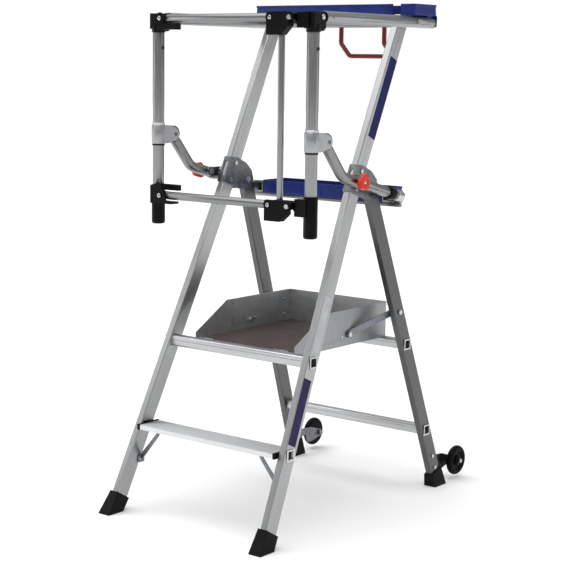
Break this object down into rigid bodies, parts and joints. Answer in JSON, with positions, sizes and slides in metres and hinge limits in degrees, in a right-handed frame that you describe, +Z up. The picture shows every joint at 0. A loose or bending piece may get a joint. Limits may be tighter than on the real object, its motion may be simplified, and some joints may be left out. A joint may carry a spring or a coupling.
{
  "type": "rolling warehouse platform ladder",
  "caption": "Folding aluminium platform ladder on rear wheels, with a guard rail, a lifting entry gate, tool trays and a toe board round the platform.",
  "frame": {"origin": "on the floor at the middle of the footprint's bounding box", "axes": "+Z up, +Y from the climbing side to the wheels, +X to the right of a person who climbs"},
  "size_m": [0.6722, 1.13, 1.578],
  "materials": {
    "front_stile_aluminium": "satin drawn aluminium",
    "rear_stile_aluminium": "satin drawn aluminium, darker",
    "rung_aluminium": "ribbed extruded aluminium",
    "tube_aluminium": "drawn aluminium tube",
    "toe_board_sheet": "dull rolled sheet with hemmed edges",
    "galvanised_steel": "zinc plated pressed steel",
    "link_steel": "dark oiled flat bar with bright edges",
    "bolt_steel": "bright zinc plated heads",
    "boot_rubber": "moulded black rubber, ribbed",
    "tyre_rubber": "solid black rubber",
    "wheel_hub_plastic": "black moulded wheel disc",
    "black_plastic": "black moulded end fittings",
    "fitting_plastic": "glossy satin black castings and mouldings",
    "panel_wood": "dark reddish brown film faced plywood",
    "knob_plastic": "orange red moulded knob",
    "tray_plastic": "dark blue moulded plastic",
    "handle_paint": "dark red coated rod",
    "label_film": "printed film stickers, blank"
  },
  "bodies": {
    "front_frame": {"front_stiles": "front_stile_aluminium", "upper_stiles": "front_stile_aluminium", "front_boots": "boot_rubber", "upper_stile_caps": "black_plastic", "step_tread": "rung_aluminium", "step_end_caps": "black_plastic", "step_fittings": "rung_aluminium", "platform_rung": "rung_aluminium", "rung_hinges": "galvanised_steel", "hinge_brackets": "galvanised_steel", "hinge_bolts": "bolt_steel", "arm_pivots": "galvanised_steel", "rail_pivot_bolts": "bolt_steel", "stile_labels": "label_film"},
    "rear_frame": {"rear_stiles": "rear_stile_aluminium", "rear_boots": "boot_rubber", "rear_stile_plugs": "black_plastic", "rear_rung_upper": "rung_aluminium", "rear_rung_lower": "rung_aluminium", "wheel_mounts": "galvanised_steel", "rear_frame_rivets": "bolt_steel"},
    "wheel_left": {"wheel_tyre_left": "tyre_rubber", "wheel_hub_left": "wheel_hub_plastic"},
    "wheel_right": {"wheel_tyre_right": "tyre_rubber", "wheel_hub_right": "wheel_hub_plastic"},
    "platform": {"platform_panel": "panel_wood", "toe_board_left": "toe_board_sheet", "toe_board_right": "toe_board_sheet", "toe_board_rear": "toe_board_sheet", "platform_fasteners": "bolt_steel", "platform_hinge_leaves": "galvanised_steel"},
    "link_left": {"link_bar_left": "link_steel"},
    "link_right": {"link_bar_right": "link_steel"},
    "guard_mid": {"guard_arms": "tube_aluminium", "arm_end_fittings": "black_plastic", "lower_tray_supports": "tube_aluminium", "arm_straps": "galvanised_steel", "lower_tray": "tray_plastic"},
    "guard_top": {"side_rails": "tube_aluminium", "rail_end_fittings": "black_plastic", "rear_crossbar": "tube_aluminium", "top_tray": "tray_plastic", "pull_handle": "handle_paint"},
    "post_left": {"guard_post_left": "tube_aluminium", "post_head_left": "fitting_plastic", "post_foot_left": "fitting_plastic", "post_clamp_left": "fitting_plastic", "post_pins_left": "bolt_steel"},
    "post_right": {"guard_post_right": "tube_aluminium", "post_head_right": "fitting_plastic", "post_foot_right": "fitting_plastic", "post_clamp_right": "fitting_plastic", "post_pins_right": "bolt_steel"},
    "gate_top": {"gate_bar_top": "tube_aluminium"},
    "gate_bottom": {"gate_bar_bottom": "tube_aluminium"},
    "gate_end": {"gate_upright": "tube_aluminium", "gate_brackets": "fitting_plastic"},
    "knob_body_left": {"knob_left": "knob_plastic"},
    "knob_body_right": {"knob_right": "knob_plastic"}
  },
  "joints": [
    {"name": "rear_frame_fold", "type": "hinge", "parent": "front_frame", "child": "rear_frame", "pos_m": [0, 0.0427, 1.012], "axis": [-1, 0, 0], "range_deg": [0, 43]},
    {"name": "platform_fold", "type": "hinge", "parent": "front_frame", "child": "platform", "pos_m": [0, -0.256, 0.529], "axis": [1, 0, 0], "range_deg": [0, 68]},
    {"name": "link_left_swing", "type": "hinge", "parent": "platform", "child": "link_left", "pos_m": [-0.206, 0.018, 0.551], "axis": [1, 0, 0], "range_deg": [-161.7, 0]},
    {"name": "wheel_left_spin", "type": "hinge", "parent": "rear_frame", "child": "wheel_left", "pos_m": [-0.304, 0.515, 0.062], "axis": [1, 0, 0], "continuous": true},
    {"name": "link_right_swing", "type": "hinge", "parent": "platform", "child": "link_right", "pos_m": [0.206, 0.018, 0.551], "axis": [1, 0, 0], "range_deg": [-161.7, 0]},
    {"name": "wheel_right_spin", "type": "hinge", "parent": "rear_frame", "child": "wheel_right", "pos_m": [0.304, 0.515, 0.062], "axis": [1, 0, 0], "continuous": true},
    {"name": "guard_fold", "type": "hinge", "parent": "front_frame", "child": "guard_mid", "pos_m": [0, -0.098, 1.042], "axis": [1, 0, 0], "range_deg": [0, 50]},
    {"name": "rail_fold", "type": "hinge", "parent": "front_frame", "child": "guard_top", "pos_m": [0, 0.196, 1.523], "axis": [1, 0, 0], "range_deg": [0, 20.2]},
    {"name": "post_left_swing", "type": "hinge", "parent": "guard_top", "child": "post_left", "pos_m": [-0.2986, -0.298, 1.523], "axis": [1, 0, 0], "range_deg": [-31, 0]},
    {"name": "post_right_swing", "type": "hinge", "parent": "guard_top", "child": "post_right", "pos_m": [0.2986, -0.298, 1.523], "axis": [1, 0, 0], "range_deg": [-31, 0]},
    {"name": "gate_lift", "type": "hinge", "parent": "post_left", "child": "gate_top", "pos_m": [-0.2592, -0.341, 1.5215], "axis": [0, -1, 0], "range_deg": [0, 85]},
    {"name": "gate_bottom_lift", "type": "hinge", "parent": "post_left", "child": "gate_bottom", "pos_m": [-0.2592, -0.341, 0.9815], "axis": [0, -1, 0], "range_deg": [0, 85.1]},
    {"name": "gate_end_swing", "type": "hinge", "parent": "gate_top", "child": "gate_end", "pos_m": [0.1695, -0.341, 1.5215], "axis": [0, -1, 0], "range_deg": [-85.1, 0]},
    {"name": "knob_left_turn", "type": "hinge", "parent": "front_frame", "child": "knob_body_left", "pos_m": [-0.33, -0.098, 1.042], "axis": [1, 0, 0], "continuous": true},
    {"name": "knob_right_turn", "type": "hinge", "parent": "front_frame", "child": "knob_body_right", "pos_m": [0.33, -0.098, 1.042], "axis": [1, 0, 0], "continuous": true}
  ],
  "couplings": [
    {"joint": "platform_fold", "follows": "rear_frame_fold", "ratio": 1.5806},
    {"joint": "link_left_swing", "follows": "rear_frame_fold", "ratio": -3.7596},
    {"joint": "link_right_swing", "follows": "rear_frame_fold", "ratio": -3.7596},
    {"joint": "rail_fold", "follows": "guard_fold", "ratio": 0.4024},
    {"joint": "post_left_swing", "follows": "guard_fold", "ratio": -0.6183},
    {"joint": "post_right_swing", "follows": "guard_fold", "ratio": -0.6183},
    {"joint": "gate_bottom_lift", "follows": "gate_lift", "ratio": 1},
    {"joint": "gate_end_swing", "follows": "gate_lift", "ratio": -1}
  ]
}
